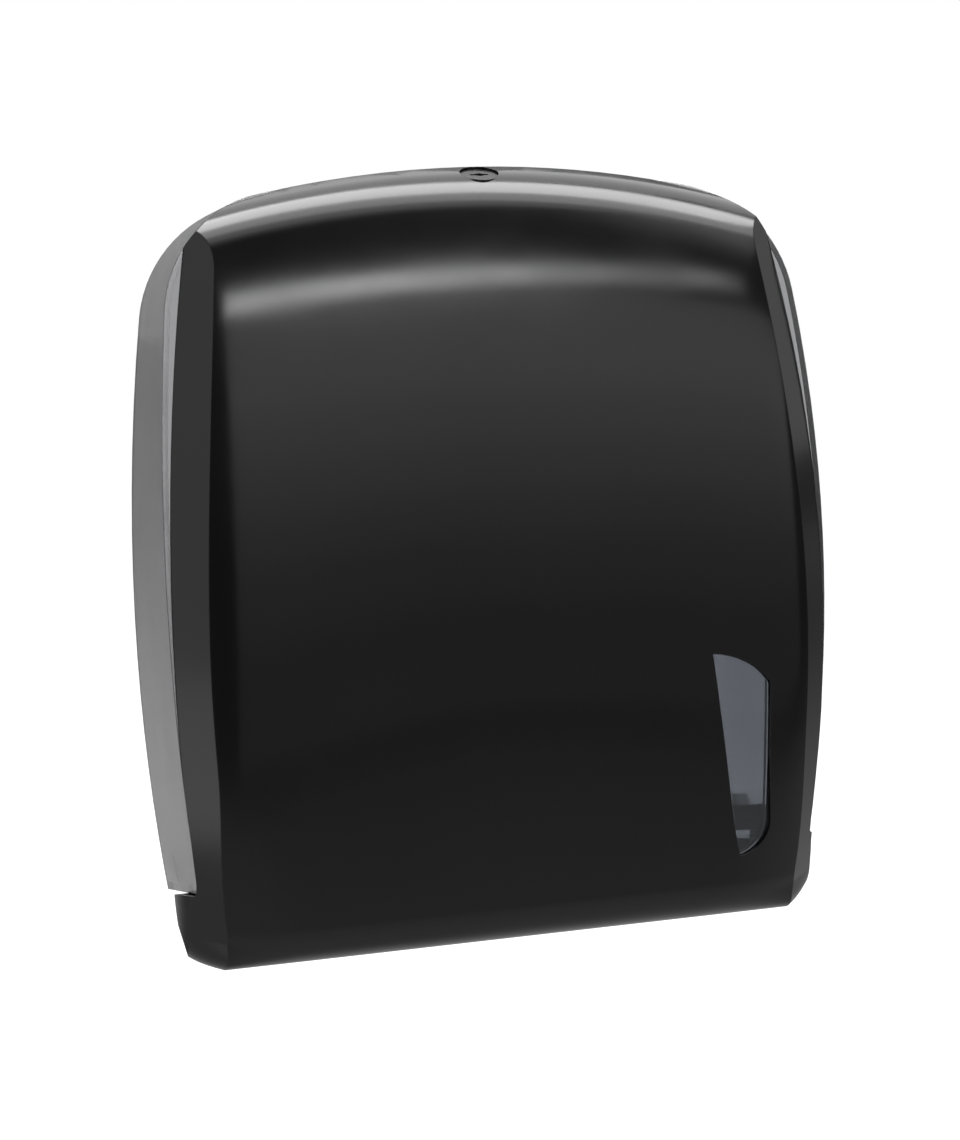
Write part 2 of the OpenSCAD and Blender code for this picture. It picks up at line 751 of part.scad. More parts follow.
module lock_plug() color(steel) place() at_lock() difference() {
    union() {
        translate([0, 0, plug_low]) cylinder(r = plug_r, h = -lock_sink - plug_low);
        translate([0, 0, -seat_w - collar_t]) cylinder(r = collar_r, h = collar_t - play / 2);
        intersection() {
            translate([0, 0, cam_low + 0.1]) cylinder(r = spigot_r, h = cam_t);
            translate([-spigot_flat, -far / 2, -far / 2]) cube([2 * spigot_flat, far, far]);
        }
    }
    translate([-key_l / 2, -key_w / 2, -lock_sink - key_d]) cube([key_l, key_w, key_d + skin]);
    translate([0, 0, -lock_sink - key_d]) cylinder(r = key_w, h = key_d + skin);
    translate([0, 0, cam_low - skin]) cylinder(r = cam_screw_r + run_gap, h = 8);
}

// Plate between two angles round the lock axis
module fan(r, a0, a1) intersection() {
    circle(r = r, $fn = fine);
    polygon([[0, 0], 2 * r * [cos(a0), sin(a0)],
             2 * r * [cos((a0 + a1) / 2), sin((a0 + a1) / 2)], 2 * r * [cos(a1), sin(a1)]]);
}

// Hook whose finger reaches behind the strike post after a quarter turn
module lock_cam() color(steel) place() at_lock() difference() {
    translate([0, 0, cam_low]) linear_extrude(cam_t) union() {
        circle(r = cam_hub_r);
        fan(cam_r, -40, -12);
        difference() {
            fan(cam_r, -26, 22);
            circle(r = post_reach + post_r + post_gap, $fn = fine);
        }
    }
    intersection() {
        translate([0, 0, cam_low - skin]) cylinder(r = spigot_r + run_gap, h = cam_t + 2 * skin);
        translate([-spigot_flat - run_gap, -far / 2, -far / 2])
            cube([2 * (spigot_flat + run_gap), far, far]);
    }
}

module cam_washer() color(steel) place() at_lock() translate([0, 0, cam_low - washer_t]) difference() {
    cylinder(r = washer_r, h = washer_t);
    translate([0, 0, -skin]) cylinder(r = cam_screw_r + run_gap, h = washer_t + 2 * skin);
}

module cam_screw() color(steel) place() at_lock() {
    translate([0, 0, cam_low - washer_t - cam_head_h]) cylinder(r = cam_head_r, h = cam_head_h);
    translate([0, 0, cam_low - washer_t]) cylinder(r = cam_screw_r, h = washer_t + 6.5);
}

module retainer_screws() color(steel) place() for (p = lug_places)
    translate([p[0], 0, p[1]]) rotate([90, 0, 0])
        small_screw(front_depth(p) - retainer_in - retainer_t - 4 * seat_gap,
                    retainer_t + win_flange_t + lug_thread);

wall_body();
outlet_tray();
outlet_throat();
tray_screws();
left_hinge_pin();
right_hinge_pin();
strike_plate();
strike_screws();
front_cover();
level_window();
window_retainer();
retainer_screws();
left_hinge_bush();
right_hinge_bush();
lock_housing();
housing_screws();
lock_plug();
lock_cam();
cam_washer();
cam_screw();
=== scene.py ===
import json
import math

import bmesh
import bpy
from mathutils import Matrix, Vector


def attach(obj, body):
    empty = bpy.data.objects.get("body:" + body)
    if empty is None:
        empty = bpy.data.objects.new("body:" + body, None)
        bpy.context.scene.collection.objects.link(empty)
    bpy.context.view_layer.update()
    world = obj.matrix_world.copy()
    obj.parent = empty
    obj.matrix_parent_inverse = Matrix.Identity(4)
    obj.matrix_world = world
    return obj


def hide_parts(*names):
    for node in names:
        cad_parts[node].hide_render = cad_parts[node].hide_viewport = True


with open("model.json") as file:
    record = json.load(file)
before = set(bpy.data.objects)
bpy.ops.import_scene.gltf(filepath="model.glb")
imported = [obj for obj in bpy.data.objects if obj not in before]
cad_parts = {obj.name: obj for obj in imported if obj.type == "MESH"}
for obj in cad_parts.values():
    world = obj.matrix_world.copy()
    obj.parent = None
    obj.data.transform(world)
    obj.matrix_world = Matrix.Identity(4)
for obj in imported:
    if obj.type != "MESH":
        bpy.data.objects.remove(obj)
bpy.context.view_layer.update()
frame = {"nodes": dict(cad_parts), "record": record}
NODES = frame["nodes"]

# Camera of the photograph
CAMERA_YAW, CAMERA_PITCH = math.radians(16.1), math.radians(13.85)
CAMERA_PLACE = -0.282, -1.0401, 0.2405
FOCAL_PX, IMAGE_H_PX, SENSOR_MM = 2300.0, 1140.0, 36.0


def make_camera():
    yaw, pitch = CAMERA_YAW, CAMERA_PITCH
    right = Vector((math.cos(yaw), -math.sin(yaw), 0))
    look = Vector((math.sin(yaw) * math.cos(pitch), math.cos(yaw) * math.cos(pitch), -math.sin(pitch)))
    up = right.cross(look)
    data = bpy.data.cameras.new("camera")
    data.sensor_fit = "AUTO"
    data.sensor_width = SENSOR_MM
    data.lens = FOCAL_PX / IMAGE_H_PX * SENSOR_MM
    data.clip_start = 0.01
    cam = bpy.data.objects.new("camera", data)
    bpy.context.scene.collection.objects.link(cam)
    m = Matrix((right, up, -look)).transposed().to_4x4()
    m.translation = Vector(CAMERA_PLACE)
    cam.matrix_world = m
    bpy.context.scene.camera = cam


# Moulded cover: a copy of its solid, cut finely, with soft shoulders and tighter rolls

# The solid's own curves, in mm: z from the cover's foot, depth from the wall, r from the arch's centre
BASE_Z, RIDGE_Z, CASE_D = 168.0, 338.5, 134.0
ARCH_Z, FLAT_R, FRONT_R = 151.5, 245.0, 540.0
ROLL_R, ROLL_AT, ROLL_D = 36.0, 453.335, 52.925
RIDGE_R, RIDGE_D, TOP_TILT = 490.0, 53.580, math.radians(12)
FOOT_R = 22.0
CHEEK_SUM, CHEEK_R, CHEEK_Z, CHEEK_TURN = 264.0, 610.0, 83.0, 16.02

# Rolls at the foot of the cheeks, the solid's and the tighter one: radius, place and upper end
CHEEK_FOOT = 18.0, 165.10, CHEEK_TURN
TIGHT_R = 10.0
TIGHT_FOOT = TIGHT_R, 172.30, TIGHT_R

# Bend in the top roll: its start, its radius, the angle at its end, and the x between which it fades
SWELL_AT, SWELL_R, SWELL_END = 439.5, 200.0, math.radians(32.05)
SWELL_FADE = 106.0, 127.0

# Soft shoulders: where they start, how far they drop and how sharply, high up and at the foot
EDGE_X = 130.0
SOFT_X, SOFT_DROP, SOFT_POWER = 107.0, 2.1, 4.0
LOW_Z, LOW_X, LOW_DROP, LOW_POWER = 95.0, 88.0, 9.1, 2.2
SOFT_FOOT_Z, SOFT_TOP_Z = (0.0, 18.0), (286.0, 314.0)
SOFT_LIMIT = 1.2

# How far the change reaches under the skin, and over the cheek beside the crease
SKIN = 5.0, 14.0
CREASE_MARGIN = 3.0
CHIN_Z = 44.0
CHIN_REACH, CHEEK_REACH, REACH_Z = 30.0, 21.0, (16.0, CHIN_Z)
TIP_CUT, TIP_Z = 0.62, (255.0, 313.0)
BISECT = math.tan(math.pi / 8)

# Search for the crease between front and cheek
CREASE_X, CREASE_HALVINGS = (90.0, 150.0), 30
CREASES_PER_MM, CREASE_COUNT, CREASE_TOP = 2, 680, 338.9

# Planes that cut the cover, and limits for the faces that they cut
CUT_X = [0, 18, 36, 54, 72, 88, 96, 102] + list(range(107, 148, 3))
CUT_Z = [1, 2, 3, 5, 8, 12, 16, 21] + list(range(27, 283, 8)) + list(range(285, 339, 3))
CUT_AREA, CUT_FRONT, CUT_SNAP, WELD = 4.0, 60.0, 0.0005, 0.001

# Limits for points and faces that lie on the front
FRONT_Z, FRONT_D, FRONT_OFF = (0.5, 338.0), 50.0, 0.15
SAME_WAY, SHORT_NORMAL, NORMAL_STEP = 0.9, 0.1, 0.05

# Limits for the faces at the chin's corners whose normals turn, and how far they turn
CHIN_FROM_X, CHIN_SIDE_X = 100.0, 134.0
UNDERSIDE, SIDEWAYS, FACING, ASKEW = -0.98, 0.9, 0.02, 0.2
SIDE_TURN, SIDE_TURN_D = 0.75, (60.0, 110.0)


def smooth(low, high, v):
    t = min(1.0, max(0.0, (v - low) / (high - low)))
    return t * t * (3 - 2 * t)


def lean(r):
    """Depth of the front, which leans back above the flat part."""
    return CASE_D - FRONT_R + math.sqrt(FRONT_R ** 2 - (r - FLAT_R) ** 2) if r > FLAT_R else CASE_D


def top_line(r):
    return RIDGE_D + (RIDGE_R - r) / math.tan(TOP_TILT)


def old_profile(r):
    """The solid's front, roll and sloping top."""
    if r <= FLAT_R + FRONT_R * (ROLL_AT - FLAT_R) / (FRONT_R - ROLL_R):
        return lean(r)
    if r <= ROLL_AT + ROLL_R * math.cos(TOP_TILT):
        return ROLL_D + math.sqrt(max(0.0, ROLL_R ** 2 - (r - ROLL_AT) ** 2))
    return top_line(r)


def swell_arcs():
    """Two arcs in place of the roll: a wide one from the front, then a narrow one to the sloping top."""
    a = math.asin((SWELL_AT - FLAT_R) / FRONT_R)
    c1 = (SWELL_AT - SWELL_R * math.sin(a), lean(SWELL_AT) - SWELL_R * math.cos(a))
    p = (c1[0] + SWELL_R * math.sin(SWELL_END), c1[1] + SWELL_R * math.cos(SWELL_END))
    n = (math.cos(TOP_TILT), math.sin(TOP_TILT))
    reach = (RIDGE_R - p[0]) * n[0] + (RIDGE_D - p[1]) * n[1]
    r2 = reach / (1 - math.sin(SWELL_END) * n[0] - math.cos(SWELL_END) * n[1])
    c2 = (p[0] - r2 * math.sin(SWELL_END), p[1] - r2 * math.cos(SWELL_END))
    return c1, p[0], c2, r2, c2[0] + r2 * n[0]


WIDE_AT, WIDE_END, NARROW_AT, NARROW_R, NARROW_END = swell_arcs()


def new_profile(r):
    """The front with the two arcs."""
    if r <= SWELL_AT:
        return lean(r)
    if r <= WIDE_END:
        return WIDE_AT[1] + math.sqrt(SWELL_R ** 2 - (r - WIDE_AT[0]) ** 2)
    if r <= NARROW_END:
        return NARROW_AT[1] + math.sqrt(max(0.0, NARROW_R ** 2 - (r - NARROW_AT[0]) ** 2))
    return top_line(r)


def foot(z):
    return CASE_D - FOOT_R + math.sqrt(max(0.0, FOOT_R ** 2 - (FOOT_R - z) ** 2))


def old_depth(x, z):
    return foot(z) if z < FOOT_R else old_profile(math.hypot(x, z + ARCH_Z))


def soft_start(z):
    return LOW_X + (SOFT_X - LOW_X) * smooth(0, LOW_Z, z)


def soft_drop(u, z):
    """How far the shoulder drops behind the solid's front at distance u from the middle."""
    start = soft_start(z)
    if u <= start:
        return 0.0
    high = smooth(0, LOW_Z, z)
    drop = LOW_DROP + (SOFT_DROP - LOW_DROP) * high
    power = LOW_POWER + (SOFT_POWER - LOW_POWER) * high
    fade = smooth(*SOFT_FOOT_Z, z) * (1 - smooth(*SOFT_TOP_Z, z))
    return fade * drop * min(SOFT_LIMIT, (u - start) / (EDGE_X + drop - start)) ** power


def shade_depth(x, z):
    """The softened front, as its highlights follow it."""
    front = foot(z) if z < FOOT_R else new_profile(math.hypot(x, z + ARCH_Z))
    return front - soft_drop(abs(x), z)


def new_depth(x, z):
    """The softened front, with the solid's own roll at the top corners, so that the seam stays true."""
    if z < FOOT_R:
        return shade_depth(x, z)
    r = math.hypot(x, z + ARCH_Z)
    share = smooth(*SWELL_FADE, abs(x))
    return shade_depth(x, z) + share * (old_profile(r) - new_profile(r))


def front_normal(depth, x, z):
    e = NORMAL_STEP
    gx = (depth(x + e, z) - depth(x - e, z)) / (2 * e)
    gz = (depth(x, z + e) - depth(x, z - e)) / (2 * e)
    return Vector((-gx, -1.0, -gz)).normalized()


def cheek_sum(z, roll=CHEEK_FOOT):
    """Sum of x and depth on the slanted cheek, with the given roll at its foot."""
    radius, place, end = roll
    if z < end:
        return math.sqrt(2) * (place + math.sqrt(max(0.0, radius ** 2 - (radius - z) ** 2)))
    return CHEEK_SUM + math.sqrt(2) * (math.sqrt(CHEEK_R ** 2 - (z - CHEEK_Z) ** 2) - CHEEK_R)


def crease(depth, roll, z):
    """The x at which the front meets the cheek."""
    low, high = CREASE_X
    for _ in range(CREASE_HALVINGS):
        mid = (low + high) / 2
        if mid + depth(mid, z) < cheek_sum(z, roll):
            low = mid
        else:
            high = mid
    return low


CREASES = []
for step in range(CREASE_COUNT):
    level = step / CREASES_PER_MM
    CREASES.append((crease(old_depth, CHEEK_FOOT, level), crease(new_depth, TIGHT_FOOT, level)))


def creases(z):
    """The x of the solid's crease and of the new one."""
    place = CREASES_PER_MM * min(max(z, 0.0), CREASE_TOP)
    i = int(place)
    t = place - i
    (a, b), (c, d) = CREASES[i], CREASES[i + 1]
    return a + (c - a) * t, b + (d - b) * t


def under_cheek(u, d, z):
    return (cheek_sum(z) - u - d) / math.sqrt(2)


def cheek_share(u, d, z):
    """How far a point of the cheek follows the crease: 1 beside it, 0 at the far edge."""
    old_x = creases(z)[0]
    under = under_cheek(u, d, z)
    away = ((u - old_x) - (d - old_depth(old_x, z))) / math.sqrt(2) - BISECT * max(under, 0.0)
    reach = CHIN_REACH + (CHEEK_REACH - CHIN_REACH) * smooth(*REACH_Z, z)
    reach *= 1 - TIP_CUT * smooth(*TIP_Z, z)
    return (1 - smooth(*SKIN, under)) * max(0.0, 1 - (max(away, 0.0) / reach) ** 2)


def softened(x, d, z):
    """Where a point of the solid goes: with the front, or with the crease where it is on the cheek."""
    if z > RIDGE_Z:
        return x, d, z
    u, side = abs(x), math.copysign(1.0, x)
    old_x, new_x = creases(z)
    under = old_depth(u, z) - d
    if under > under_cheek(u, d, z):
        share = cheek_share(u, d, z)
        deeper = new_depth(new_x, z) - old_depth(old_x, z)
        return x + side * share * (new_x - old_x), d + share * deeper, z
    share = 1 - smooth(*SKIN, under)
    start = soft_start(z)
    at = u + BISECT * max(under, 0.0)
    if share <= 0 or at > old_x + CREASE_MARGIN:
        return x, d, z
    to = start + (at - start) * (new_x - start) / (old_x - start) if at > start else at
    return x + side * share * (to - at), d + share * (new_depth(to, z) - old_depth(at, z)), z


def chin_normal(co, n, face):
    """Turns the normals low on the cheeks, where their roll is tighter, and on the sides of the chin."""
    if abs(co.x) < CHIN_FROM_X or co.z > CHIN_Z or face.normal.z < UNDERSIDE:
        return n
    slant = Vector((math.copysign(1, co.x), -1, 0)).normalized()
    if abs(n.x) > SIDEWAYS and abs(co.x) > CHIN_SIDE_X:
        return n.lerp(slant, SIDE_TURN * smooth(*SIDE_TURN_D, -co.y))
    along = Vector((slant.x, -slant.y, 0))
    if n.dot(slant) < FACING or abs(n.dot(along)) > ASKEW or co.z > CHEEK_TURN:
        return n
    down = max(0.0, 1 - co.z / TIGHT_R)
    aim = slant * math.sqrt(1 - down ** 2) + Vector((0, 0, -down))
    return n.lerp(aim, cheek_share(abs(co.x), -co.y, co.z))


def cut_planes():
    for x in CUT_X:
        for side in ((1, -1) if x else (1,)):
            yield (side * x, 0, 0), (1, 0, 0)
    for z in CUT_Z:
        yield (0, 0, z), (0, 0, 1)


def cut_finely(bm):
    bmesh.ops.remove_doubles(bm, verts=bm.verts, dist=WELD)
    for co, no in cut_planes():
        skin = [f for f in bm.faces if f.calc_area() > CUT_AREA or f.calc_center_median().y < -CUT_FRONT]
        edges = list({e for f in skin for e in f.edges})
        verts = list({v for f in skin for v in f.verts})
        bmesh.ops.bisect_plane(bm, geom=skin + edges + verts, dist=CUT_SNAP, plane_co=co, plane_no=no)
    bmesh.ops.triangulate(bm, faces=bm.faces)
    bm.verts.index_update()


def front_points(bm):
    """The solid's normals at the points that lie on its front."""
    normals = {}
    for v in bm.verts:
        x, d, z = v.co.x, -v.co.y, v.co.z
        if not FRONT_Z[0] < z < FRONT_Z[1] or d < FRONT_D:
            continue
        n = front_normal(old_depth, x, z)
        if abs((old_depth(x, z) - d) * n.y) < FRONT_OFF:
            normals[v.index] = n
    return normals


def corner_normals(bm, moved):
    """New normals on the front, turned ones at the chin and the solid's own elsewhere."""
    kept = bm.loops.layers.float_vector["kept_normal"]
    old = front_points(bm)
    new = {i: front_normal(shade_depth, moved[i][0], moved[i][2]) for i in old}
    normals = []
    for face in bm.faces:
        on_front = all(v.index in old for v in face.verts) and all(
            Vector(loop[kept]).dot(old[loop.vert.index]) > SAME_WAY for loop in face.loops)
        for loop in face.loops:
            if on_front:
                n = new[loop.vert.index]
            else:
                n = chin_normal(loop.vert.co, Vector(loop[kept]), face)
            normals.append(n.normalized() if n.length > SHORT_NORMAL else face.normal.copy())
    return normals


def add_piece(name, mesh, mat):
    mesh.name = name
    mesh.materials.clear()
    mesh.materials.append(mat)
    piece = bpy.data.objects.new(name, mesh)
    bpy.context.scene.collection.objects.link(piece)
    return piece


def make_cover(mat):
    mesh = NODES["front_cover"].data.copy()
    kept = mesh.attributes.new("kept_normal", "FLOAT_VECTOR", "CORNER")
    flat = [v for n in mesh.corner_normals for v in n.vector]
    kept.data.foreach_set("vector", flat)
    bm = bmesh.new()
    bm.from_mesh(mesh)
    bm.transform(Matrix.Translation((0, 0, BASE_Z)) @ Matrix.Scale(1000, 4))
    cut_finely(bm)
    moved = [softened(v.co.x, -v.co.y, v.co.z) for v in bm.verts]
    normals = corner_normals(bm, moved)
    for v, (x, d, z) in zip(bm.verts, moved):
        v.co = (x, -d, z)
    bm.transform(Matrix.Scale(0.001, 4) @ Matrix.Translation((0, 0, -BASE_Z)))
    bm.to_mesh(mesh)
    bm.free()
    mesh.attributes.remove(mesh.attributes["kept_normal"])
    mesh.polygons.foreach_set("use_smooth", [True] * len(mesh.polygons))
    mesh.normals_split_custom_set(normals)
    piece = add_piece("moulded_cover", mesh, mat)
    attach(piece, "cover")
    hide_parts("front_cover")


# Lock plug: a copy of its solid with the face sunk to the curve of the crown
LOCK_AT = Vector((0, -0.06188, 0.168736))
LOCK_AXIS = Vector((0, -math.sin(TOP_TILT), math.cos(TOP_TILT)))
LOCK_FACE, LOCK_SINK = -0.001, 0.0007


def make_lock(mat):
    mesh = NODES["lock_plug"].data.copy()
    for v in mesh.vertices:
        if (v.co - LOCK_AT).dot(LOCK_AXIS) > LOCK_FACE:
            v.co -= LOCK_SINK * LOCK_AXIS
    piece = add_piece("sunk_lock", mesh, mat)
    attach(piece, "lock")
    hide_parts("lock_plug")


# Materials
EDGE_RADIUS, EDGE_COS = 0.0007, (0.97, 0.80)
GRAIN_DEPTH, PLASTIC_IOR = 0.0001, 1.49

# Scale and detail of the noises, and the spans of them that are used
RUB_NOISE, CLOUD_NOISE, CLOUD_SPAN = (120.0, 4.0), (12.0, 3.0), (0.35, 0.65)
GLOSS_NOISE, GLOSS_SPAN = (30.0, 5.0), (0.3, 0.7)
FULL = 0.0, 1.0
EVEN = 1, 1, 1
BRUSHED = 1, 6, 1


class Nodes:
    """A material's node tree with short ways to add and link nodes."""

    def __init__(self, name):
        self.mat = bpy.data.materials.new(name)
        self.mat.use_nodes = True
        self.tree = self.mat.node_tree
        self.bsdf = self.tree.nodes["Principled BSDF"]
        self.coord = self.add("ShaderNodeTexCoord").outputs["Object"]

    def add(self, kind, **values):
        node = self.tree.nodes.new(kind)
        for key, value in values.items():
            setattr(node, key, value)
        return node

    def link(self, out, socket):
        self.tree.links.new(out, socket)

    def set(self, socket, value):
        self.bsdf.inputs[socket].default_value = value

    def noise(self, scale, detail=2.0, stretch=EVEN):
        spread = self.add("ShaderNodeMapping")
        spread.inputs["Scale"].default_value = stretch
        tex = self.add("ShaderNodeTexNoise")
        tex.inputs["Scale"].default_value = scale
        tex.inputs["Detail"].default_value = detail
        self.link(self.coord, spread.inputs["Vector"])
        self.link(spread.outputs["Vector"], tex.inputs["Vector"])
        return tex.outputs["Fac"]

    def span(self, fac, old, new):
        node = self.add("ShaderNodeMapRange")
        for key, value in zip(("From Min", "From Max", "To Min", "To Max"), (*old, *new)):
            node.inputs[key].default_value = value
        self.link(fac, node.inputs["Value"])
        return node.outputs["Result"]

    def times(self, a, b):
        node = self.add("ShaderNodeMath", operation="MULTIPLY")
        self.link(a, node.inputs[0])
        self.link(b, node.inputs[1])
        return node.outputs[0]

    def mix(self, fac, dark, light):
        node = self.add("ShaderNodeMix", data_type="RGBA")
        for socket, value in ((node.inputs[6], dark), (node.inputs[7], light)):
            if isinstance(value, tuple):
                socket.default_value = (*value, 1)
            else:
                self.link(value, socket)
        self.link(fac, node.inputs[0])
        return node.outputs[2]

    def rounded(self, radius):
        soft = self.add("ShaderNodeBevel", samples=6)
        soft.inputs["Radius"].default_value = radius
        return soft.outputs["Normal"]

    def edges(self, rounded):
        """1 on rubbed edges, where the rounded normal turns away from the true one."""
        dot = self.add("ShaderNodeVectorMath", operation="DOT_PRODUCT")
        self.link(rounded, dot.inputs[0])
        self.link(self.add("ShaderNodeNewGeometry").outputs["Normal"], dot.inputs[1])
        worn = self.span(dot.outputs["Value"], EDGE_COS, FULL)
        return self.times(worn, self.span(self.noise(*RUB_NOISE), CLOUD_SPAN, FULL))

    def bump(self, height, strength, rounded):
        node = self.add("ShaderNodeBump")
        node.inputs["Strength"].default_value = strength
        node.inputs["Distance"].default_value = GRAIN_DEPTH
        self.link(height, node.inputs["Height"])
        self.link(rounded, node.inputs["Normal"])
        self.link(node.outputs["Normal"], self.bsdf.inputs["Normal"])


def moulded(name, dark, light, worn, rough, grain, strength, clear=0.0, stretch=EVEN, metal=0.0):
    """Moulded plastic, or metal: clouded colour, uneven gloss, fine grain and rubbed edges."""
    m = Nodes(name)
    rounded = m.rounded(EDGE_RADIUS)
    edges = m.edges(rounded)
    colour = m.mix(m.span(m.noise(*CLOUD_NOISE), CLOUD_SPAN, FULL), dark, light)
    m.link(m.mix(edges, colour, worn), m.bsdf.inputs["Base Color"])
    gloss = m.span(m.noise(*GLOSS_NOISE, stretch), GLOSS_SPAN, rough)
    m.link(gloss, m.bsdf.inputs["Roughness"])
    m.set("Metallic", metal)
    m.set("Transmission Weight", clear)
    m.set("IOR", PLASTIC_IOR)
    m.bump(m.noise(grain, stretch=stretch), strength, rounded)
    return m.mat


def make_materials():
    """A material for each slot, from its dark, light and worn colours."""
    return {
        "black_plastic": moulded(
            "satin_black", (0.0030, 0.0030, 0.0032), (0.0042, 0.0042, 0.0045), (0.010, 0.010, 0.010),
            rough=(0.14, 0.18), grain=2600.0, strength=0.05),
        "dark_plastic": moulded(
            "matt_black", (0.012, 0.012, 0.013), (0.018, 0.018, 0.019), (0.03, 0.03, 0.03),
            rough=(0.42, 0.52), grain=1800.0, strength=0.12),
        "smoked_plastic": moulded(
            "smoked_clear", (0.37, 0.37, 0.38), (0.41, 0.41, 0.42), (0.47, 0.47, 0.48),
            rough=(0.08, 0.14), grain=900.0, strength=0.03, clear=0.92),
        "window_plastic": moulded(
            "smoked_window", (0.30, 0.33, 0.37), (0.33, 0.36, 0.40), (0.42, 0.45, 0.5),
            rough=(0.06, 0.12), grain=900.0, strength=0.03, clear=0.92),
        "bush_plastic": moulded(
            "natural_plastic", (0.52, 0.51, 0.48), (0.6, 0.59, 0.56), (0.66, 0.65, 0.62),
            rough=(0.34, 0.45), grain=1800.0, strength=0.1),
        "lock_plastic": moulded(
            "lock_black", (0.006, 0.006, 0.0065), (0.009, 0.009, 0.0095), (0.02, 0.02, 0.02),
            rough=(0.22, 0.3), grain=2200.0, strength=0.06),
        "steel": moulded(
            "zinc_steel", (0.40, 0.41, 0.43), (0.52, 0.53, 0.55), (0.68, 0.69, 0.7),
            rough=(0.24, 0.4), grain=700.0, strength=0.1, stretch=BRUSHED, metal=1.0),
    }


def dress_nodes(mats):
    slots = {row["node"]: row["material_slot"] for row in frame["record"]["subparts"]}
    for name, obj in NODES.items():
        obj.data.materials.clear()
        obj.data.materials.append(mats[slots[name]])


# Studio

# Backdrop behind the object: where its glow starts, where it is full and how bright it is then
CLEAR_BACK, WORLD_SHINY, FLOOR_SHINY = (0.2, 0.7, 1.0), (0.45, 0.8, 0.25), (0.8, 1.8, 0.12)
ROOM, ROOM_SHINY, BACKDROP = 0.2, 0.08, 1.0
FLOOR_HALF, FLOOR_Z, FLOOR_GLOW = 6.0, -0.6, 0.93
FLOOR_DARK, FLOOR_LIGHT = (0.36, 0.36, 0.36), (0.40, 0.40, 0.40)
FLOOR_SCALE, FLOOR_ROUGH = 3.0, 0.9

# Overhead lamps: near edge, far edge and radiance
OVERHEAD_STEPS = ((-0.02, 0.42, 10.0), (-0.32, -0.02, 3.8), (-0.52, -0.32, 1.4), (-0.64, -0.52, 0.4))
OVERHEAD_X, OVERHEAD_Z, OVERHEAD_W, OVERHEAD_ALONG = 0.15, 1.30, 1.9, (1, -0.3, 0)
CROWN = 0.0, -0.06, 0.16
OVERHEAD_BACK = (0.28, 0.84, 1.20), CROWN, (2.0, 0.9), 1.8

# Bowed row of strips in front, for the highlight across the upper front
STRIPS, STRIP_W, STRIP_H = 9, 0.16, 0.14
STRIP_X, STRIP_Y, STRIP_Z, STRIP_BOW, STRIP_MID = -0.2, -1.23, 1.08, 0.22, 0.28
STRIP_AIM_Y, STRIP_AIM_Z = -0.09, 0.13
STRIP_GLOW, STRIP_LOSS, STRIP_LOSS_X = 10.0, 6.8, (0.25, 0.85)

# Front lamps, brighter towards the top: low edge, high edge and radiance
FRONT_LEFT, FRONT_RIGHT, FRONT_Y, FRONT_AIM_Y = -0.30, 2.4, -1.56, -0.1
FRONT_STEPS = ((0.72, 1.2, 0.95), (0.53, 0.72, 0.72), (0.36, 0.53, 0.55), (0.2, 0.36, 0.38),
               (-0.02, 0.2, 0.26), (-0.4, -0.02, 0.17))

# Lamps at the sides: place, target, size and radiance
SIDE_LAMPS = {
    "left_soft": ((-1.25, -0.40, 0.3), (-0.13, -0.1, 0.3), (1.0, 2.0), 0.7),
    "left_low": ((-1.2, -0.40, -0.4), (-0.13, -0.1, -0.4), (1.0, 0.4), 0.4),
    "right_soft": ((1.3, 0.35, 0.5), (0.13, -0.1, 0.2), (1.0, 1.0), 0.35),
}


def area_light(name, place, target, size, radiance, along=(1, 0, 0)):
    data = bpy.data.lights.new(name, "AREA")
    data.shape = "RECTANGLE"
    data.size, data.size_y = size
    data.energy = math.pi * radiance * size[0] * size[1]
    obj = bpy.data.objects.new(name, data)
    bpy.context.scene.collection.objects.link(obj)
    back = (Vector(place) - Vector(target)).normalized()
    across = (Vector(along) - back * back.dot(Vector(along))).normalized()
    m = Matrix((across, back.cross(across), back)).transposed().to_4x4()
    m.translation = place
    obj.matrix_world = m


def combine(tree, operation, a, b):
    node = tree.nodes.new("ShaderNodeMath")
    node.operation = operation
    tree.links.new(a, node.inputs[0])
    tree.links.new(b, node.inputs[1])
    return node.outputs[0]


def step_up(tree, axis, low, high, top):
    node = tree.nodes.new("ShaderNodeMapRange")
    node.interpolation_type = "SMOOTHSTEP"
    for key, value in (("From Min", low), ("From Max", high), ("To Max", top)):
        node.inputs[key].default_value = value
    tree.links.new(axis, node.inputs["Value"])
    return node.outputs["Result"]


def background_mask(tree, path, axis, shiny):
    """1 for camera rays, and rising towards the backdrop for clear rays and, less, for glossy ones."""
    seen = path.outputs["Is Camera Ray"]
    for ray, reach in (("Is Transmission Ray", CLEAR_BACK), ("Is Glossy Ray", shiny)):
        part = combine(tree, "MULTIPLY", path.outputs[ray], step_up(tree, axis, *reach))
        seen = combine(tree, "MAXIMUM", seen, part)
    return seen


def mix_shaders(tree, fac, first, second):
    node = tree.nodes.new("ShaderNodeMixShader")
    tree.links.new(fac, node.inputs["Fac"])
    tree.links.new(first, node.inputs[1])
    tree.links.new(second, node.inputs[2])
    return node.outputs[0]


def glow(tree, kind, brightness):
    node = tree.nodes.new(kind)
    node.inputs["Color"].default_value = (brightness, brightness, brightness, 1)
    return node.outputs[0]


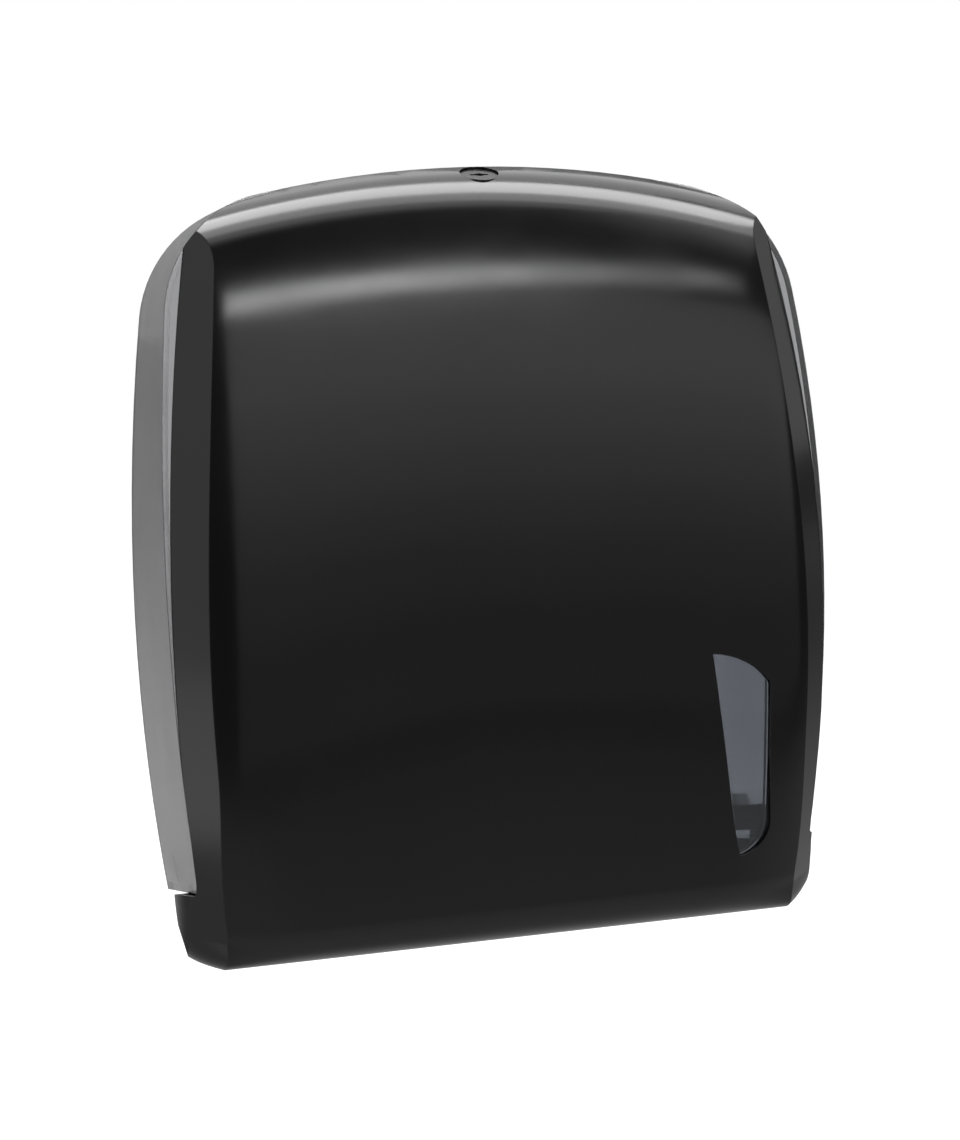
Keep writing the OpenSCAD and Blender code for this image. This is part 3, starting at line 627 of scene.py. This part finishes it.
def make_world():
    world = bpy.data.worlds.new("studio")
    bpy.context.scene.world = world
    world.use_nodes = True
    tree = world.node_tree
    tree.nodes.clear()
    out = tree.nodes.new("ShaderNodeOutputWorld")
    split = tree.nodes.new("ShaderNodeSeparateXYZ")
    tree.links.new(tree.nodes.new("ShaderNodeTexCoord").outputs["Generated"], split.inputs["Vector"])
    path = tree.nodes.new("ShaderNodeLightPath")
    mask = background_mask(tree, path, split.outputs["Y"], WORLD_SHINY)
    dull, shiny, back = (glow(tree, "ShaderNodeBackground", v) for v in (ROOM, ROOM_SHINY, BACKDROP))
    room = mix_shaders(tree, path.outputs["Is Glossy Ray"], dull, shiny)
    tree.links.new(mix_shaders(tree, mask, room, back), out.inputs["Surface"])


def floor_material():
    m = Nodes("pale_floor")
    m.link(m.mix(m.noise(FLOOR_SCALE), FLOOR_DARK, FLOOR_LIGHT), m.bsdf.inputs["Base Color"])
    m.set("Roughness", FLOOR_ROUGH)
    m.set("Specular IOR Level", 0.0)
    split = m.add("ShaderNodeSeparateXYZ")
    m.link(m.add("ShaderNodeNewGeometry").outputs["Position"], split.inputs["Vector"])
    mask = background_mask(m.tree, m.add("ShaderNodeLightPath"), split.outputs["Y"], FLOOR_SHINY)
    dark, bright = (glow(m.tree, "ShaderNodeEmission", v) for v in (0.0, FLOOR_GLOW))
    add = m.add("ShaderNodeAddShader")
    m.link(m.bsdf.outputs[0], add.inputs[0])
    m.link(mix_shaders(m.tree, mask, dark, bright), add.inputs[1])
    m.link(add.outputs[0], m.tree.nodes["Material Output"].inputs["Surface"])
    return m.mat


def make_floor():
    mesh = bpy.data.meshes.new("floor")
    sides = ((-1, -1), (1, -1), (1, 1), (-1, 1))
    corners = [(x * FLOOR_HALF, y * FLOOR_HALF, FLOOR_Z) for x, y in sides]
    mesh.from_pydata(corners, [], [(0, 1, 2, 3)])
    obj = bpy.data.objects.new("floor", mesh)
    obj.data.materials.append(floor_material())
    bpy.context.scene.collection.objects.link(obj)


def make_lamps():
    for i, (near, far, radiance) in enumerate(OVERHEAD_STEPS):
        place = (OVERHEAD_X, (near + far) / 2, OVERHEAD_Z)
        area_light(f"overhead_{i}", place, CROWN, (OVERHEAD_W, far - near), radiance, OVERHEAD_ALONG)
    area_light("overhead_back", *OVERHEAD_BACK)
    for i in range(STRIPS):
        x = STRIP_X + i * STRIP_W
        rise = STRIP_BOW * (x - STRIP_MID) ** 2
        radiance = STRIP_GLOW - STRIP_LOSS * smooth(*STRIP_LOSS_X, x)
        place, target = (x, STRIP_Y, STRIP_Z + rise), (x, STRIP_AIM_Y, STRIP_AIM_Z + rise)
        area_light(f"strip_{i}", place, target, (STRIP_W, STRIP_H), radiance)
    for i, (low, high, radiance) in enumerate(FRONT_STEPS):
        x, z = (FRONT_LEFT + FRONT_RIGHT) / 2, (low + high) / 2
        size = (FRONT_RIGHT - FRONT_LEFT, high - low)
        area_light(f"front_{i}", (x, FRONT_Y, z), (x, FRONT_AIM_Y, z), size, radiance)
    for name, lamp in SIDE_LAMPS.items():
        area_light(name, *lamp, along=(0, 1, 0))


def make_studio():
    bpy.context.scene.view_settings.view_transform = "Standard"
    make_world()
    make_floor()
    make_lamps()


make_camera()
MATS = make_materials()
dress_nodes(MATS)
make_cover(MATS["black_plastic"])
make_lock(MATS["lock_plastic"])
make_studio()
